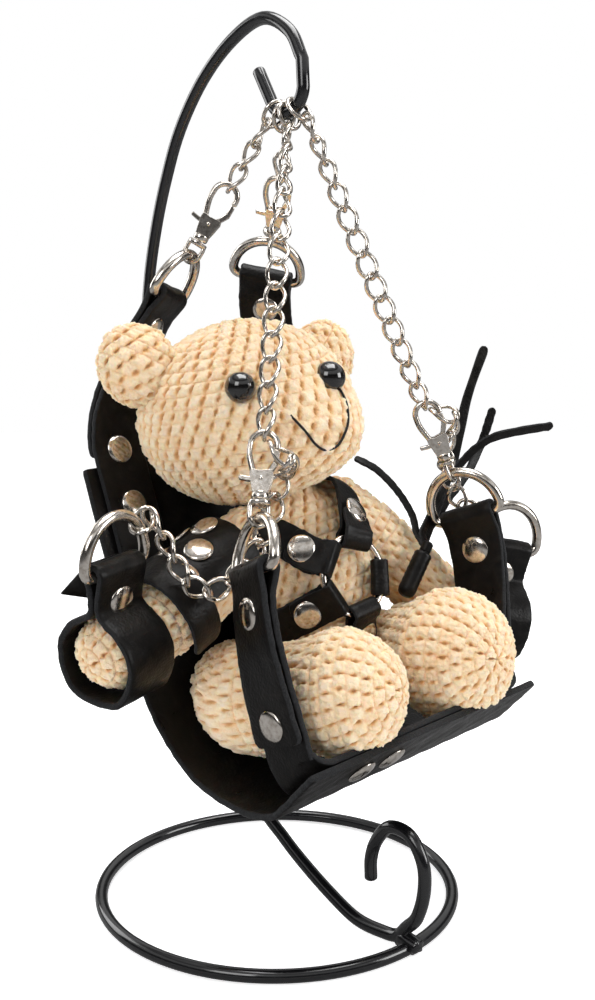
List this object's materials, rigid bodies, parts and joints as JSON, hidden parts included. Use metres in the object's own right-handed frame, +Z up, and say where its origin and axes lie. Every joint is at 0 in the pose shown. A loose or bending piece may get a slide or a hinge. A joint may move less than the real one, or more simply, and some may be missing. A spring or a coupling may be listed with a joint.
{
  "type": "teddy bear on swing",
  "caption": "Crocheted teddy bear in a harness and cuffs, sitting in a leather sling seat hung by chains from the hook of a bent wire stand.",
  "frame": {"origin": "on the floor, in the middle of the bounding box", "axes": "+Z up, -Y the way the bear faces, +X the bear's left"},
  "size_m": [0.2002, 0.1576, 0.3168],
  "materials": {
    "gloss_black_enamel": "gloss enamel",
    "nickel_plate": "polished nickel plate",
    "black_leather": "satin, cut edges",
    "cream_chenille": "chunky chenille crochet",
    "black_eye": "glossy safety eye"
  },
  "bodies": {
    "stand": {"base_ring": "gloss_black_enamel", "stand_rod": "gloss_black_enamel"},
    "hanger_rings": {"hanger_ring_back_left": "nickel_plate", "hanger_ring_back_right": "nickel_plate", "hanger_ring_front_left": "nickel_plate", "hanger_ring_front_right": "nickel_plate"},
    "hook_front_right": {"snap_hook_front_right": "nickel_plate"},
    "gate_front_right": {"gate_front_right": "nickel_plate"},
    "hook_front_left": {"snap_hook_front_left": "nickel_plate"},
    "gate_front_left": {"gate_front_left": "nickel_plate"},
    "hook_back_right": {"snap_hook_back_right": "nickel_plate"},
    "gate_back_right": {"gate_back_right": "nickel_plate"},
    "hook_back_left": {"snap_hook_back_left": "nickel_plate"},
    "gate_back_left": {"gate_back_left": "nickel_plate"},
    "swing": {"back_strap_left": "black_leather", "back_strap_left_rivet_lower": "nickel_plate", "back_strap_left_rivet_upper": "nickel_plate", "back_strap_right": "black_leather", "back_strap_right_rivet_lower": "nickel_plate", "back_strap_right_rivet_upper": "nickel_plate", "bear_arm_left": "cream_chenille", "bear_arm_right": "cream_chenille", "bear_ear_left": "cream_chenille", "bear_ear_right": "cream_chenille", "bear_eye_left": "black_eye", "bear_eye_right": "black_eye", "bear_head": "cream_chenille", "bear_leg_left": "cream_chenille", "bear_leg_right": "cream_chenille", "bear_torso": "cream_chenille", "chain_back_left": "nickel_plate", "chain_back_right": "nickel_plate", "chain_front_left": "nickel_plate", "chain_front_right": "nickel_plate", "chest_ring": "nickel_plate", "cradle_strap": "black_leather", "cuff_chain_left": "nickel_plate", "cuff_chain_right": "nickel_plate", "cuff_dee_left": "nickel_plate", "cuff_dee_right": "nickel_plate", "cuff_left": "black_leather", "cuff_right": "black_leather", "dee_back_left": "nickel_plate", "dee_back_right": "nickel_plate", "dee_front_left": "nickel_plate", "dee_front_right": "nickel_plate", "harness_arm_panel": "black_leather", "harness_belt": "black_leather", "harness_chest_strap": "black_leather", "harness_lower_strap": "black_leather", "harness_shoulder_strap": "black_leather", "lip_rivet_left": "nickel_plate", "lip_rivet_right": "nickel_plate", "seat_sheet": "black_leather", "swivel_eye_back_left": "nickel_plate", "swivel_eye_back_right": "nickel_plate", "swivel_eye_front_left": "nickel_plate", "swivel_eye_front_right": "nickel_plate", "whip_grip": "black_leather", "whip_thongs": "black_leather"}
  },
  "joints": [
    {"name": "swing_fore_aft", "type": "hinge", "parent": "stand", "child": "hanger_rings", "pos_m": [-0.0054, -0.00705, 0.289], "axis": [1, 0, 0], "range_deg": [-12, 10]},
    {"name": "swing_sideways", "type": "hinge", "parent": "hanger_rings", "child": "swing", "pos_m": [-0.0054, -0.00705, 0.28055], "axis": [0, 1, 0], "range_deg": [-8, 8]},
    {"name": "swivel_front_right", "type": "hinge", "parent": "swing", "child": "hook_front_right", "pos_m": [-0.05035, -0.04245, 0.15411], "axis": [0.3239, 0.2449, 0.9138], "range_deg": [-4, 4]},
    {"name": "gate_hinge_front_right", "type": "hinge", "parent": "hook_front_right", "child": "gate_front_right", "pos_m": [-0.04822, -0.04084, 0.16014], "axis": [0.6472, 0.6472, -0.4029], "range_deg": [-22, 0], "stiffness_Nm_per_rad": 0.002, "springref_deg": 2.86},
    {"name": "swivel_front_left", "type": "hinge", "parent": "swing", "child": "hook_front_left", "pos_m": [0.03948, -0.04262, 0.16152], "axis": [-0.3366, 0.2163, 0.9165], "range_deg": [-4, 4]},
    {"name": "gate_hinge_front_left", "type": "hinge", "parent": "hook_front_left", "child": "gate_front_left", "pos_m": [0.03726, -0.04119, 0.16757], "axis": [0.7041, 0.7041, 0.0923], "range_deg": [-22, 0], "stiffness_Nm_per_rad": 0.002, "springref_deg": 2.86},
    {"name": "swivel_back_right", "type": "hinge", "parent": "swing", "child": "hook_back_right", "pos_m": [-0.0227, 0.01973, 0.23875], "axis": [0.3329, -0.4063, 0.8509], "range_deg": [-12, 12]},
    {"name": "gate_hinge_back_right", "type": "hinge", "parent": "hook_back_right", "child": "gate_back_right", "pos_m": [-0.02051, 0.01705, 0.24437], "axis": [0.7058, 0.7058, 0.0609], "range_deg": [-22, 0], "stiffness_Nm_per_rad": 0.002, "springref_deg": 2.86},
    {"name": "swivel_back_left", "type": "hinge", "parent": "swing", "child": "hook_back_left", "pos_m": [0.01173, 0.01882, 0.24552], "axis": [-0.363, -0.5664, 0.7399], "range_deg": [-12, 12]},
    {"name": "gate_hinge_back_left", "type": "hinge", "parent": "hook_back_left", "child": "gate_back_left", "pos_m": [0.00933, 0.01508, 0.2504], "axis": [0.5287, 0.5287, 0.6641], "range_deg": [-22, 0], "stiffness_Nm_per_rad": 0.002, "springref_deg": 2.86}
  ]
}
